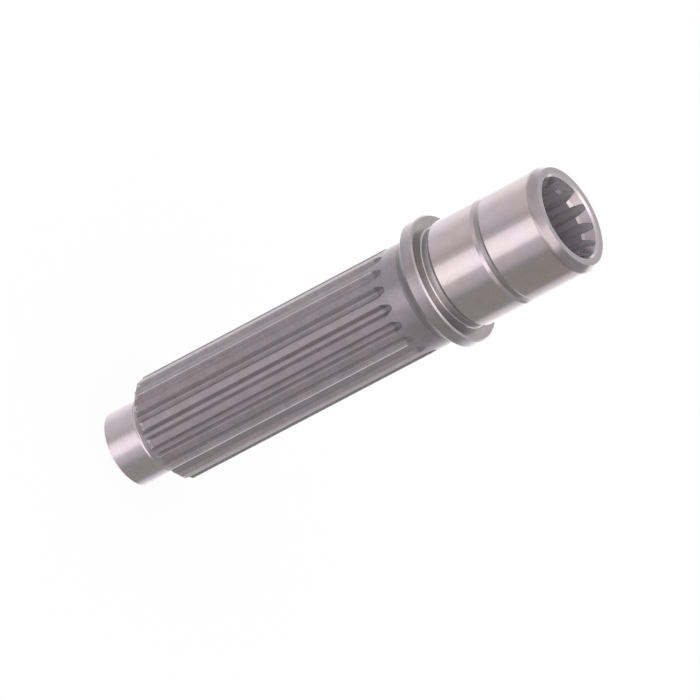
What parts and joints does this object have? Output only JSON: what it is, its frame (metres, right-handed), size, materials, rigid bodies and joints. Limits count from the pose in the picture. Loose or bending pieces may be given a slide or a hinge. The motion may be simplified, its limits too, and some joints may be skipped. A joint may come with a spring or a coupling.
{
  "type": "splined drive shaft",
  "caption": "Stepped steel motor shaft with a long external spline, thrust collar, ground journals and a splined socket in one end.",
  "frame": {"origin": "centre of the pilot journal's end face, which the shaft stands on", "axes": "+Z along the shaft's axis towards the splined socket; +Y through the middle of one external tooth space"},
  "size_m": [0.06, 0.06, 0.2416],
  "materials": {
    "steel": "hardened steel: fine ground journals, dull machined spline, neck, undercut and bore"
  },
  "bodies": {
    "root": {"shaft": "steel"}
  },
  "joints": []
}
